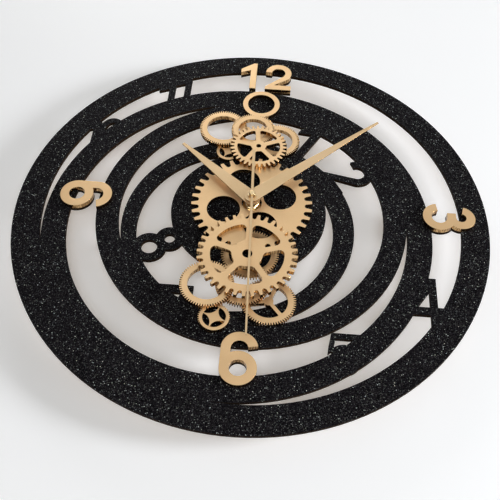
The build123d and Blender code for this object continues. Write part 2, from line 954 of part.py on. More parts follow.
# Hanger strip: flat under the washer, back over the case and up to the hole
fold = case_top + hanger_clearance
with BuildPart() as hanger_plate:
    with BuildSketch(Plane.YZ.offset(-hanger_width / 2)):
        front = tab_back - case_front
        arbor = -hang_height
        with BuildLine():
            Polyline(
                (front, arbor - hanger_foot),
                (front, arbor + fold),
                (0, arbor + fold),
                (0, tab_top),
                (-hanger_thickness, tab_top),
                (-hanger_thickness, arbor + fold + hanger_thickness),
                (front - hanger_thickness, arbor + fold + hanger_thickness),
                (front - hanger_thickness, arbor - hanger_foot),
                close=True,
            )
        make_face()
    extrude(amount=hanger_width)
    with BuildSketch(at_height(case_front)):
        Circle(bore_radius)
    extrude(amount=hanger_thickness, mode=Mode.SUBTRACT)
    with BuildSketch(at_height(tab_back)):
        with Locations((0, hang_height)):
            Circle(hanger_hole_radius)
    extrude(amount=hanger_thickness, mode=Mode.SUBTRACT)
keep(hanger_plate, "hanger_plate")


# Wheels of the movement

def meshed(line, first_turn, first_teeth, second_teeth):
    """Turn of a second wheel that puts its gap on the first wheel's tooth, along the line between them."""
    share = (line - first_turn) * first_teeth / 360
    return line + 180 - (0.5 - share) * 360 / second_teeth


def cog(teeth, module, turn):
    """Small wheel with slim teeth, cut clear of its mate."""
    tip = module * (teeth / 2 + 0.75)
    return toothed(tip, 1.9 * module, teeth, 0.14, 0.52, turn)


def layer_of(face, place, low, thickness):
    """Flat slice of the piece being built, at a place on the dial."""
    with BuildSketch(at_height(low)) as slice_face:
        with Locations(place):
            add(face)
    extrude(slice_face.sketch, amount=thickness)


def pin(radius, place, low, high):
    """Round shaft of the piece being built."""
    layer_of(disc(radius), place, low, high - low)


def drill(radius, place, low, high):
    """Round hole through the piece being built."""
    with BuildSketch(at_height(low)) as round_face:
        with Locations(place):
            Circle(radius)
    extrude(round_face.sketch, amount=high - low, mode=Mode.SUBTRACT)


axis_at = (0, 0)
shaft_low = cover_front - bearing_depth + end_play
shaft_high = case_floor + bearing_depth - end_play
seconds_module = 2 * intermediate_distance / (intermediate_pinion_teeth + seconds_teeth)
rotor_module = 2 * rotor_distance / (rotor_pinion_teeth + intermediate_teeth)
third_module = 2 * third_distance / (seconds_pinion_teeth + third_teeth)
centre_module = 2 * third_distance / (third_pinion_teeth + centre_teeth)
hour_module = 2 * motion_distance / (minute_pinion_teeth + hour_teeth)
pinion_overlap = 0.4

intermediate_pinion_turn = meshed(intermediate_turn, 0, seconds_teeth, intermediate_pinion_teeth)
intermediate_wheel_turn = meshed(rotor_turn + 180, 0, rotor_pinion_teeth, intermediate_teeth)
third_wheel_turn = meshed(third_turn, 0, seconds_pinion_teeth, third_teeth)
centre_wheel_turn = meshed(third_turn + 180, 0, third_pinion_teeth, centre_teeth)
minute_gear_turn = meshed(minute_wheel_turn, 0, cannon_teeth, minute_teeth)
hour_gear_turn = meshed(minute_wheel_turn + 180, 0, minute_pinion_teeth, hour_teeth)
knob_gear_turn = meshed(knob_turn, minute_gear_turn, minute_teeth, knob_pinion_teeth)

seconds_wheel_top = seconds_wheel_height + wheel_thickness
intermediate_top = intermediate_wheel_height + wheel_thickness
third_wheel_top = third_wheel_height + wheel_thickness
centre_wheel_top = centre_wheel_height + wheel_thickness
minute_wheel_top = minute_wheel_height + wheel_thickness
hour_wheel_top = hour_wheel_height + wheel_thickness

with BuildPart() as rotor:
    pin(pivot_radius, rotor_at, shaft_low, shaft_high)
    rotor_pinion = cog(rotor_pinion_teeth, rotor_module, 0)
    layer_of(rotor_pinion, rotor_at, intermediate_wheel_height - pinion_overlap, wheel_thickness + 2 * pinion_overlap)
    pin(magnet_radius, rotor_at, magnet_height, magnet_height + magnet_length)
keep(rotor, "rotor")

with BuildPart() as intermediate_wheel:
    pin(pivot_radius, intermediate_at, shaft_low, shaft_high)
    small_cog = cog(intermediate_pinion_teeth, seconds_module, intermediate_pinion_turn)
    layer_of(small_cog, intermediate_at, seconds_wheel_height - pinion_overlap, wheel_thickness + 2 * pinion_overlap)
    large_cog = cog(intermediate_teeth, rotor_module, intermediate_wheel_turn)
    layer_of(large_cog, intermediate_at, intermediate_wheel_height, wheel_thickness)
keep(intermediate_wheel, "intermediate_wheel")

with BuildPart() as seconds_wheel:
    pin(second_arbor_radius, axis_at, shaft_low, second_arbor_top)
    layer_of(cog(seconds_teeth, seconds_module, 0), axis_at, seconds_wheel_height, wheel_thickness)
    seconds_pinion = cog(seconds_pinion_teeth, third_module, 0)
    layer_of(seconds_pinion, axis_at, seconds_wheel_top, third_wheel_top + pinion_overlap - seconds_wheel_top)
keep(seconds_wheel, "seconds_wheel")

with BuildPart() as third_wheel:
    pin(pivot_radius, third_at, shaft_low, shaft_high)
    layer_of(cog(third_teeth, third_module, third_wheel_turn), third_at, third_wheel_height, wheel_thickness)
    third_pinion = cog(third_pinion_teeth, centre_module, 0)
    layer_of(third_pinion, third_at, third_wheel_top, centre_wheel_top + pinion_overlap - third_wheel_top)
keep(third_wheel, "third_wheel")

with BuildPart() as centre_wheel:
    layer_of(cog(centre_teeth, centre_module, centre_wheel_turn), axis_at, centre_wheel_height, wheel_thickness)
    cannon = cog(cannon_teeth, motion_module, 0)
    layer_of(cannon, axis_at, centre_wheel_top, minute_wheel_top + pinion_overlap - centre_wheel_top)
    pin(minute_tube_radius, axis_at, centre_wheel_height, minute_tube_top)
    drill(second_arbor_radius + arbor_clearance, axis_at, centre_wheel_height, minute_tube_top)
keep(centre_wheel, "centre_wheel")

with BuildPart() as minute_wheel:
    layer_of(cog(minute_teeth, motion_module, minute_gear_turn), minute_wheel_at, minute_wheel_height, wheel_thickness)
    minute_pinion = cog(minute_pinion_teeth, hour_module, 0)
    layer_of(minute_pinion, minute_wheel_at, minute_wheel_top, hour_wheel_top + pinion_overlap - minute_wheel_top)
    drill(stud_radius + arbor_clearance, minute_wheel_at, minute_wheel_height, hour_wheel_top + pinion_overlap)
keep(minute_wheel, "minute_wheel")

with BuildPart() as hour_wheel:
    layer_of(cog(hour_teeth, hour_module, hour_gear_turn), axis_at, hour_wheel_height, wheel_thickness)
    pin(hour_tube_radius, axis_at, hour_wheel_height, hour_tube_top)
    drill(minute_tube_radius + arbor_clearance, axis_at, hour_wheel_height, hour_tube_top)
keep(hour_wheel, "hour_wheel")

knob_low = cover_recess - end_play - knob_thickness
with BuildPart() as setting_knob:
    pin(knob_shaft_radius, knob_at, knob_low, shaft_high)
    knob_cog = cog(knob_pinion_teeth, motion_module, knob_gear_turn)
    layer_of(knob_cog, knob_at, minute_wheel_height - pinion_overlap, wheel_thickness + 2 * pinion_overlap)
    layer_of(toothed(knob_radius, 0.35, 36, 0.4, 0.8), knob_at, knob_low, knob_thickness)
keep(setting_knob, "setting_knob")

# Motor: stator round the rotor's magnet, and the coil on its core across the stator's arms
stator_low = magnet_height + (magnet_length - stator_thickness) / 2
stator_front = stator_low + stator_thickness
core_middle = stator_top - core_drop
with BuildPart() as stator:
    with BuildSketch(at_height(stator_low)):
        with Locations(rotor_at):
            Circle(magnet_radius + stator_gap + stator_rim)
        with Locations((stator_left, stator_foot)):
            Rectangle(stator_right - stator_left, stator_pole, align=(Align.MIN, Align.MIN))
            Rectangle(stator_arm, stator_top - stator_foot, align=(Align.MIN, Align.MIN))
        with Locations((stator_right, stator_foot)):
            Rectangle(stator_arm, stator_top - stator_foot, align=(Align.MAX, Align.MIN))
        with Locations(rotor_at):
            Circle(magnet_radius + stator_gap, mode=Mode.SUBTRACT)
    extrude(amount=stator_thickness)
keep(stator, "stator")

with BuildPart() as coil_core:
    with BuildSketch(at_height(stator_front)):
        with Locations((stator_left, core_middle)):
            Rectangle(stator_right - stator_left, core_height, align=(Align.MIN, Align.CENTER))
    extrude(amount=stator_thickness)
keep(coil_core, "coil_core")

bobbin_left = stator_left + stator_arm + 0.3
bobbin_right = stator_right - stator_arm - 0.3
core_axis_height = stator_front + stator_thickness / 2
spool_height = core_height + 2 * bobbin_wall
spool_depth = stator_thickness + 2 * bobbin_wall
bobbin_middle = (bobbin_left + bobbin_right) / 2
bobbin_length = bobbin_right - bobbin_left


def across(x):
    """Plane square to the coil's core at a place along it."""
    place = (x, tab_back - core_axis_height, core_middle - hang_height)
    return Plane(origin=place, x_dir=(0, -1, 0), z_dir=(1, 0, 0))


with BuildPart() as coil_bobbin:
    with BuildSketch(across(bobbin_left)):
        Rectangle(spool_depth, spool_height)
    extrude(amount=bobbin_length)
    for end in (bobbin_left, bobbin_right - bobbin_flange):
        with BuildSketch(across(end)):
            Rectangle(bobbin_height, bobbin_height)
        extrude(amount=bobbin_flange)
    with BuildSketch(across(bobbin_left)):
        Rectangle(stator_thickness, core_height)
    extrude(amount=bobbin_length, mode=Mode.SUBTRACT)
keep(coil_bobbin, "coil_bobbin")

with BuildPart() as drive_coil:
    with BuildSketch(across(bobbin_left + bobbin_flange)):
        RectangleRounded(coil_size, coil_size, 0.8)
        Rectangle(spool_depth, spool_height, mode=Mode.SUBTRACT)
    extrude(amount=bobbin_length - 2 * bobbin_flange)
keep(drive_coil, "drive_coil")

with BuildPart() as circuit_board:
    with BuildSketch(at_height(board_depth)):
        with Locations(board_center):
            Rectangle(board_width, board_height)
    extrude(amount=board_thickness)
keep(circuit_board, "circuit_board")

with BuildPart() as quartz_crystal:
    crystal_at = (board_center[0], board_center[1] + board_height / 4)
    crystal_plane = Plane(
        origin=(crystal_at[0] - crystal_length / 2, tab_back - board_depth + crystal_radius, crystal_at[1] - hang_height),
        x_dir=(0, 1, 0),
        z_dir=(1, 0, 0),
    )
    with BuildSketch(crystal_plane):
        Circle(crystal_radius)
    extrude(amount=crystal_length)
    fillet(quartz_crystal.edges().filter_by(GeomType.CIRCLE), 0.3)
keep(quartz_crystal, "quartz_crystal")

with BuildPart() as sealed_chip:
    with BuildSketch(at_height(board_depth - chip_height)):
        with Locations((board_center[0], board_center[1] - board_height / 5)):
            Circle(chip_radius)
    extrude(amount=chip_height)
    fillet(sealed_chip.faces().sort_by(Axis.Y)[-1].edges(), 0.8)
keep(sealed_chip, "sealed_chip")
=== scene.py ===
import math

import bmesh
import bpy
from mathutils import Matrix, Vector


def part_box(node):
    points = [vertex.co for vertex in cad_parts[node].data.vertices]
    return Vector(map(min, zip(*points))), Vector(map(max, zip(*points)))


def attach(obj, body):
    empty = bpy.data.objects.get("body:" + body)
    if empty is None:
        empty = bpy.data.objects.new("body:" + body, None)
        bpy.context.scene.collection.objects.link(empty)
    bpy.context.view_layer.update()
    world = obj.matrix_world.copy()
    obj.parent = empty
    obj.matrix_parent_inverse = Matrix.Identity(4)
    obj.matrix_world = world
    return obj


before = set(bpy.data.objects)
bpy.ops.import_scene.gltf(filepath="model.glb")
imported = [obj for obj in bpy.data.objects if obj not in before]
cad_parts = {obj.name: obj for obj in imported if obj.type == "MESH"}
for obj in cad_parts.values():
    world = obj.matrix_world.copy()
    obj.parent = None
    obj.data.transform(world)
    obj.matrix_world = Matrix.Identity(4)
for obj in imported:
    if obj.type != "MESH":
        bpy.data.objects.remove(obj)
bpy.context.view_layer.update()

# Lengths are metres. The dial faces -Y and the back of the case rests on the wall. The origin is the
# middle of the hanger's hole, and the hands turn on the arbor.
ARBOR = Vector((0.0, 0.0, -0.036))
WALL = 0.0015
BACKWARD = Vector((0.0, 1.0, 0.0))


# Small helpers for the finishes

def add(tree, kind, **settings):
    """A new node with its settings."""
    node = tree.nodes.new(kind)
    for name, value in settings.items():
        setattr(node, name, value)
    return node


def feed(tree, socket, value):
    """Links a socket, or sets it to a plain value. A plain colour is red, green and blue."""
    if isinstance(value, bpy.types.NodeSocket):
        tree.links.new(value, socket)
    elif socket.type == "RGBA":
        socket.default_value = (*value, 1.0)
    else:
        socket.default_value = value


def fill(tree, node, **values):
    """Feeds a node's sockets by their names, with underscores for the spaces."""
    for title, value in values.items():
        feed(tree, node.inputs[title.replace("_", " ")], value)


def calc(tree, operation, first, second=0.0, clamp=False):
    """The result of one step of arithmetic."""
    node = add(tree, "ShaderNodeMath", operation=operation, use_clamp=clamp)
    feed(tree, node.inputs[0], first)
    feed(tree, node.inputs[1], second)
    return node.outputs[0]


def ramp(tree, value, low, high):
    """0 below low, 1 above high, with a smooth rise between."""
    node = add(tree, "ShaderNodeMapRange", interpolation_type="SMOOTHSTEP")
    fill(tree, node, Value=value, From_Min=low, From_Max=high)
    return node.outputs["Result"]


def spread(tree, value, low, high):
    """Stretches a 0 to 1 value to low to high."""
    node = add(tree, "ShaderNodeMapRange")
    fill(tree, node, Value=value, To_Min=low, To_Max=high)
    return node.outputs["Result"]


def blend_colours(tree, share, first, second):
    """The first colour where share is 0, the second where it is 1."""
    node = add(tree, "ShaderNodeMix", data_type="RGBA")
    feed(tree, node.inputs["Factor"], share)
    feed(tree, node.inputs[6], first)
    feed(tree, node.inputs[7], second)
    return node.outputs[2]


def mix_shaders(tree, share, first, second):
    """The first shader where share is 0, the second where it is 1."""
    node = add(tree, "ShaderNodeMixShader")
    feed(tree, node.inputs[0], share)
    feed(tree, node.inputs[1], first.outputs[0])
    feed(tree, node.inputs[2], second.outputs[0])
    return node


def mirror_rays(tree, path):
    """1 for the rays that a shiny or clear surface sends out."""
    return calc(tree, "MAXIMUM", path.outputs["Is Glossy Ray"], path.outputs["Is Transmission Ray"])


def noise(tree, place, scale, detail, roughness):
    """Soft random patches, as many per metre as scale says."""
    node = add(tree, "ShaderNodeTexNoise")
    fill(tree, node, Vector=place, Scale=scale, Detail=detail, Roughness=roughness)
    return node.outputs["Fac"]


def stretched(tree, place, scale, turn=(0.0, 0.0, 0.0)):
    """Places turned and stretched, for a pattern that runs one way."""
    node = add(tree, "ShaderNodeMapping")
    fill(tree, node, Vector=place, Scale=scale, Rotation=turn)
    return node.outputs["Vector"]


def effect(name, inputs, outputs):
    """An empty node group with its number sockets and its two end nodes."""
    group = bpy.data.node_groups.new(name, "ShaderNodeTree")
    for title in inputs:
        group.interface.new_socket(title, in_out="INPUT", socket_type="NodeSocketFloat")
    for title in outputs:
        group.interface.new_socket(title, in_out="OUTPUT", socket_type="NodeSocketFloat")
    return group, add(group, "NodeGroupInput"), add(group, "NodeGroupOutput")


# Effects that several finishes share

def make_sparkle():
    """Glitter flecks: some cells hold a fleck, each with its own brightness and a faint tint."""
    group, given, made = effect("glitter_flecks", ("Flecks per metre", "Share", "Size"), ("Fleck", "Tone"))
    group.interface.new_socket("Tint", in_out="OUTPUT", socket_type="NodeSocketColor")
    silver = (1.0, 0.90, 0.98)
    tint_share = 0.22
    cells = add(group, "ShaderNodeTexVoronoi")
    place = add(group, "ShaderNodeTexCoord").outputs["Object"]
    fill(group, cells, Vector=place, Scale=given.outputs["Flecks per metre"])
    lots = add(group, "ShaderNodeSeparateColor")
    feed(group, lots.inputs[0], cells.outputs["Color"])
    chosen = calc(group, "LESS_THAN", lots.outputs[0], given.outputs["Share"])
    near = calc(group, "LESS_THAN", cells.outputs["Distance"], given.outputs["Size"])
    tint = blend_colours(group, tint_share, silver, cells.outputs["Color"])
    fill(group, made, Fleck=calc(group, "MULTIPLY", chosen, near), Tone=lots.outputs[1], Tint=tint)
    return group


def make_cut_wall():
    """The sawn walls of a flat board: where they are, and their streaks."""
    group, given, made = effect("cut_wall", ("Streaks per metre",), ("Wall", "Streak"))
    where = add(group, "ShaderNodeTexCoord")
    facing = add(group, "ShaderNodeSeparateXYZ")
    feed(group, facing.inputs[0], where.outputs["Normal"])
    flat = calc(group, "ABSOLUTE", facing.outputs["Y"])
    wall = ramp(group, calc(group, "SUBTRACT", 1.0, flat), 0.15, 0.6)
    thin = stretched(group, where.outputs["Object"], scale=(1.0, 0.12, 1.0))
    streak = noise(group, thin, given.outputs["Streaks per metre"], detail=3.0, roughness=0.6)
    fill(group, made, Wall=wall, Streak=streak)
    return group


def make_grain():
    """Fine grain and broad clouding of a sprayed, moulded or plated surface."""
    group, given, made = effect("fine_grain", ("Grains per metre", "Clouds per metre"), ("Grain", "Cloud"))
    place = add(group, "ShaderNodeTexCoord").outputs["Object"]
    grain = noise(group, place, given.outputs["Grains per metre"], detail=3.0, roughness=0.6)
    cloud = noise(group, place, given.outputs["Clouds per metre"], detail=3.0, roughness=0.5)
    fill(group, made, Grain=grain, Cloud=cloud)
    return group


def make_brushing():
    """Fine lines left by a brush or a lathe along one direction."""
    group, given, made = effect("brushed_lines", ("Lines per metre",), ("Line",))
    place = add(group, "ShaderNodeTexCoord").outputs["Object"]
    along = stretched(group, place, scale=(0.04, 1.0, 1.0))
    fill(group, made, Line=noise(group, along, given.outputs["Lines per metre"], detail=2.0, roughness=0.6))
    return group


def make_raw_back():
    """The unpainted back of a fibre board: where it is, its fibres, and paint mist blown past the edges."""
    group, given, made = effect("raw_back", ("Fibres per metre",), ("Back", "Fibre", "Mist"))
    fibre_share = 0.7
    speck_share = 0.3
    where = add(group, "ShaderNodeTexCoord")
    place = where.outputs["Object"]
    facing = add(group, "ShaderNodeSeparateXYZ")
    feed(group, facing.inputs[0], where.outputs["Normal"])
    felt = stretched(group, place, scale=(1.0, 1.0, 0.22), turn=(0.0, math.radians(35), 0.0))
    fibre = noise(group, felt, given.outputs["Fibres per metre"], detail=5.0, roughness=0.65)
    speck = noise(group, place, scale=2400.0, detail=2.0, roughness=0.6)
    fibre = calc(group, "MULTIPLY", fibre, fibre_share)
    speck = calc(group, "MULTIPLY", speck, speck_share)
    mist = noise(group, place, scale=34.0, detail=4.0, roughness=0.6)
    fill(group, made, Back=ramp(group, facing.outputs["Y"], 0.5, 0.8))
    fill(group, made, Fibre=calc(group, "ADD", fibre, speck), Mist=ramp(group, mist, 0.50, 0.78))
    return group


SPARKLE = make_sparkle()
RAW_BACK = make_raw_back()
CUT_WALL = make_cut_wall()
GRAIN = make_grain()
BRUSHING = make_brushing()


def use(tree, group, **values):
    """Places a shared effect, with this finish's own values."""
    node = add(tree, "ShaderNodeGroup", node_tree=group)
    fill(tree, node, **values)
    return node.outputs


def finish(name, **plain):
    """A material with its Principled shader and the values that are the same all over."""
    material = bpy.data.materials.new(name)
    material.use_nodes = True
    tree = material.node_tree
    shader = tree.nodes["Principled BSDF"]
    fill(tree, shader, **plain)
    return material, tree, shader


def relief(tree, shader, height, depth, strength, edge=0.0):
    """Bumps on a surface; with an edge radius its sharp corners catch light as if slightly rounded."""
    node = add(tree, "ShaderNodeBump")
    if edge:
        softened = add(tree, "ShaderNodeBevel", samples=4)
        fill(tree, softened, Radius=edge)
        fill(tree, node, Normal=softened.outputs["Normal"])
    fill(tree, node, Strength=strength, Distance=depth, Height=height)
    fill(tree, shader, Normal=node.outputs["Normal"])


# The clock's finishes

def bare_board(tree, back, front, mist):
    """The painted front's colour, with the raw brown fibre board and some paint mist on the back."""
    fibre_dark = (0.20, 0.115, 0.055)
    fibre_light = (0.42, 0.27, 0.145)
    mist_cover = 0.75
    brown = blend_colours(tree, ramp(tree, back["Fibre"], 0.34, 0.66), fibre_dark, fibre_light)
    brown = blend_colours(tree, calc(tree, "MULTIPLY", back["Mist"], mist_cover), brown, mist)
    return blend_colours(tree, back["Back"], front, brown)


def strewn(tree, paint, flecks, falloff, strength):
    """Paint with glitter in it: the higher the falloff, the fewer of the flecks are bright."""
    bright = calc(tree, "MULTIPLY", flecks["Fleck"], calc(tree, "POWER", flecks["Tone"], falloff))
    return blend_colours(tree, calc(tree, "MULTIPLY", bright, strength), paint, flecks["Tint"])


def glitter_black():
    """Black paint full of fine glitter, on a thin board with dark brown cut walls."""
    material, tree, shader = finish("glitter_black", Specular_IOR_Level=0.02)
    paint_dark = (0.0002, 0.0002, 0.0004)
    paint_light = (0.0140, 0.0127, 0.0155)
    wall_dark = (0.006, 0.004, 0.003)
    wall_light = (0.040, 0.022, 0.011)
    mist = (0.006, 0.006, 0.007)
    fleck_height = 0.5
    wall = use(tree, CUT_WALL, Streaks_per_metre=700.0)
    back = use(tree, RAW_BACK, Fibres_per_metre=420.0)
    grain = use(tree, GRAIN, Grains_per_metre=1000.0, Clouds_per_metre=18.0)
    fine = use(tree, SPARKLE, Flecks_per_metre=1250.0, Share=0.7, Size=0.55)
    coarse = use(tree, SPARKLE, Flecks_per_metre=900.0, Share=0.36, Size=0.34)
    paint = blend_colours(tree, ramp(tree, grain["Grain"], 0.32, 0.72), paint_dark, paint_light)
    paint = strewn(tree, paint, fine, falloff=2.5, strength=0.13)
    paint = strewn(tree, paint, coarse, falloff=7.0, strength=0.95)
    burnt = blend_colours(tree, wall["Streak"], wall_dark, wall_light)
    front = blend_colours(tree, wall["Wall"], paint, burnt)
    fill(tree, shader, Base_Color=bare_board(tree, back, front, mist))
    fill(tree, shader, Roughness=spread(tree, grain["Grain"], 0.45, 0.7))
    bumps = calc(tree, "ADD", grain["Grain"], calc(tree, "MULTIPLY", coarse["Fleck"], fleck_height))
    relief(tree, shader, bumps, depth=0.00012, strength=0.4, edge=0.0003)
    return material


def satin_gold(name, face, shade, wall_dark, wall_light, shine, on_board):
    """Satin gold faces with painted glints, and polished walls that mirror what lies below them, their dark
    streaks partly burnt board and partly painted shade. A board's back is left raw.
    """
    material, tree, shader = finish(name)
    # Painted highlight: pale glint flecks, set by the fine grain, are blended into the gold's colour.
    painted_glint = (0.95, 0.82, 0.58)
    painted_glint_share = 0.25
    wall_polish = 0.25
    wall = use(tree, CUT_WALL, Streaks_per_metre=1100.0)
    grain = use(tree, GRAIN, Grains_per_metre=2600.0, Clouds_per_metre=26.0)
    gold = blend_colours(tree, ramp(tree, grain["Cloud"], 0.3, 0.7), shade, face)
    painted_glints = calc(tree, "MULTIPLY", ramp(tree, grain["Grain"], 0.45, 0.75), painted_glint_share)
    gold = blend_colours(tree, painted_glints, gold, painted_glint)
    # The walls' streaks run from wall_dark to wall_light. The dark end is burnt board deepened into painted
    # shade for the crevices between teeth and layers.
    sawn_and_shaded = blend_colours(tree, ramp(tree, wall["Streak"], 0.35, 0.68), wall_dark, wall_light)
    colour = blend_colours(tree, wall["Wall"], gold, sawn_and_shaded)
    metal = spread(tree, wall["Wall"], shine, 1.0)
    if on_board:
        back = use(tree, RAW_BACK, Fibres_per_metre=420.0)
        colour = bare_board(tree, back, colour, shade)
        metal = calc(tree, "MULTIPLY", metal, calc(tree, "SUBTRACT", 1.0, back["Back"]))
    satin = spread(tree, grain["Grain"], 0.32, 0.50)
    polish = calc(tree, "MULTIPLY", wall["Wall"], wall_polish)
    fill(tree, shader, Base_Color=colour, Metallic=metal, Roughness=calc(tree, "SUBTRACT", satin, polish))
    relief(tree, shader, grain["Grain"], depth=0.00005, strength=0.35, edge=0.0004)
    return material


def polished_brass():
    """Turned brass with fine lines."""
    material, tree, shader = finish("polished_brass", Metallic=1.0)
    dark = (0.72, 0.53, 0.28)
    light = (0.88, 0.71, 0.45)
    grain = use(tree, GRAIN, Grains_per_metre=1800.0, Clouds_per_metre=260.0)
    lines = use(tree, BRUSHING, Lines_per_metre=5200.0)
    fill(tree, shader, Base_Color=blend_colours(tree, ramp(tree, grain["Cloud"], 0.3, 0.7), dark, light))
    fill(tree, shader, Roughness=spread(tree, lines["Line"], 0.12, 0.32))
    relief(tree, shader, lines["Line"], depth=0.00002, strength=0.3, edge=0.0003)
    return material


def plated_steel():
    """Bright plated sheet steel with brushed lines."""
    material, tree, shader = finish("plated_steel", Metallic=1.0)
    dark = (0.46, 0.46, 0.47)
    light = (0.66, 0.66, 0.66)
    grain = use(tree, GRAIN, Grains_per_metre=2200.0, Clouds_per_metre=70.0)
    lines = use(tree, BRUSHING, Lines_per_metre=1800.0)
    fill(tree, shader, Base_Color=blend_colours(tree, ramp(tree, grain["Cloud"], 0.3, 0.75), dark, light))
    fill(tree, shader, Roughness=spread(tree, lines["Line"], 0.22, 0.42))
    relief(tree, shader, lines["Line"], depth=0.00003, strength=0.4)
    return material


def moulded(name, dark, light, roughness, grains, depth):
    """Moulded plastic or rubber with a fine spark-eroded grain."""
    material, tree, shader = finish(name)
    grain = use(tree, GRAIN, Grains_per_metre=grains, Clouds_per_metre=55.0)
    fill(tree, shader, Base_Color=blend_colours(tree, ramp(tree, grain["Cloud"], 0.25, 0.75), dark, light))
    fill(tree, shader, Roughness=spread(tree, grain["Grain"], *roughness))
    relief(tree, shader, grain["Grain"], depth=depth, strength=0.6, edge=0.0003)
    return material


def battery_jacket():
    """A dark printed sleeve with a copper band at the plus end and bare metal at both ends."""
    material, tree, shader = finish("battery_jacket")
    sleeve_dark = (0.012, 0.012, 0.014)
    sleeve_light = (0.024, 0.024, 0.027)
    copper_dark = (0.48, 0.22, 0.09)
    copper_light = (0.66, 0.36, 0.17)
    metal_dark = (0.48, 0.48, 0.48)
    metal_light = (0.68, 0.68, 0.67)
    copper_shine = 0.8
    low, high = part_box("battery")
    place = add(tree, "ShaderNodeSeparateXYZ")
    feed(tree, place.inputs[0], add(tree, "ShaderNodeTexCoord").outputs["Object"])
    along = calc(tree, "DIVIDE", calc(tree, "SUBTRACT", place.outputs["X"], low.x), high.x - low.x)
    lines = use(tree, BRUSHING, Lines_per_metre=2600.0)
    grain = use(tree, GRAIN, Grains_per_metre=1600.0, Clouds_per_metre=120.0)
    band = ramp(tree, along, 0.70, 0.705)
    plus_end = ramp(tree, along, 0.965, 0.967)
    minus_end = ramp(tree, along, 0.016, 0.014)
    ends = calc(tree, "ADD", plus_end, minus_end, clamp=True)
    sleeve = blend_colours(tree, grain["Cloud"], sleeve_dark, sleeve_light)
    copper = blend_colours(tree, lines["Line"], copper_dark, copper_light)
    metal = blend_colours(tree, lines["Line"], metal_dark, metal_light)
    colour = blend_colours(tree, ends, blend_colours(tree, band, sleeve, copper), metal)
    shine = calc(tree, "MAXIMUM", calc(tree, "MULTIPLY", band, copper_shine), ends)
    fill(tree, shader, Base_Color=colour, Metallic=shine, Roughness=spread(tree, lines["Line"], 0.2, 0.36))
    relief(tree, shader, grain["Grain"], depth=0.00002, strength=0.3)
    return material


def green_board():
    """Green solder mask with the shadow of its tracks and small bright pads."""
    material, tree, shader = finish("green_board")
    mask_dark = (0.03, 0.17, 0.06)
    mask_light = (0.07, 0.29, 0.12)
    pad_metal = (0.72, 0.72, 0.68)
    cells = add(tree, "ShaderNodeTexVoronoi", distance="CHEBYCHEV", feature="F1")
    fill(tree, cells, Vector=add(tree, "ShaderNodeTexCoord").outputs["Object"], Scale=420.0)
    track = cells.outputs["Distance"]
    pads = use(tree, SPARKLE, Flecks_per_metre=380.0, Share=0.3, Size=0.26)
    mask = blend_colours(tree, ramp(tree, track, 0.38, 0.46), mask_dark, mask_light)
    fill(tree, shader, Base_Color=blend_colours(tree, pads["Fleck"], mask, pad_metal))
    fill(tree, shader, Metallic=pads["Fleck"], Roughness=spread(tree, track, 0.28, 0.5))
    relief(tree, shader, track, depth=0.00004, strength=0.5)
    return material


def wound_copper():
    """Enamelled wire, turn beside turn, with painted shade darkening the grooves between the turns."""
    material, tree, shader = finish("wound_copper", Metallic=1.0)
    # Painted shade: the darker colour in the grooves between the turns.
    painted_gap_shade = (0.30, 0.10, 0.035)
    wire_colour = (0.72, 0.34, 0.15)
    bands = add(tree, "ShaderNodeTexWave", wave_type="BANDS", bands_direction="X")
    fill(tree, bands, Vector=add(tree, "ShaderNodeTexCoord").outputs["Object"], Scale=900.0)
    turns = bands.outputs["Fac"]
    fill(tree, shader, Base_Color=blend_colours(tree, turns, painted_gap_shade, wire_colour))
    fill(tree, shader, Roughness=spread(tree, turns, 0.42, 0.24))
    relief(tree, shader, turns, depth=0.00008, strength=0.7)
    return material


# One finish for each of the part's material slots
FINISHES = {
    "black_paint": glitter_black(),
    # The gold finishes' wall_dark colours are burnt streaks deepened into painted shade.
    "gold_paint": satin_gold(
        "satin_gold", face=(0.84, 0.57, 0.30), shade=(0.745, 0.495, 0.255),
        wall_dark=(0.15, 0.065, 0.02), wall_light=(0.80, 0.54, 0.26), shine=0.75, on_board=True),
    "hand_gold": satin_gold(
        "hand_gold", face=(0.74, 0.53, 0.30), shade=(0.67, 0.47, 0.25),
        wall_dark=(0.30, 0.155, 0.055), wall_light=(0.80, 0.57, 0.30), shine=0.6, on_board=False),
    "brass": polished_brass(),
    "rubber": moulded(
        "soft_rubber", dark=(0.010, 0.010, 0.010), light=(0.022, 0.022, 0.022),
        roughness=(0.7, 0.9), grains=1400.0, depth=0.00006),
    "steel": plated_steel(),
    "case_plastic": moulded(
        "case_black", dark=(0.010, 0.010, 0.011), light=(0.024, 0.024, 0.026),
        roughness=(0.40, 0.62), grains=2400.0, depth=0.00006),
    "cover_plastic": moulded(
        "cover_black", dark=(0.026, 0.026, 0.028), light=(0.050, 0.050, 0.054),
        roughness=(0.42, 0.62), grains=1700.0, depth=0.00006),
    "knob_plastic": moulded(
        "knob_grey", dark=(0.48, 0.47, 0.43), light=(0.60, 0.59, 0.55),
        roughness=(0.36, 0.54), grains=2600.0, depth=0.00004),
    "gear_plastic": moulded(
        "wheel_white", dark=(0.70, 0.69, 0.63), light=(0.82, 0.81, 0.77),
        roughness=(0.32, 0.48), grains=2600.0, depth=0.00003),
    "battery_sleeve": battery_jacket(),
    "board": green_board(),
    "chip": moulded(
        "sealing_drop", dark=(0.007, 0.007, 0.007), light=(0.016, 0.016, 0.016),
        roughness=(0.10, 0.24), grains=900.0, depth=0.00005),
    "copper": wound_copper(),
}

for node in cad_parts.values():
    for place in node.material_slots:
        place.material = FINISHES[place.material.name.split(".")[0]]


# Helpers for shapes

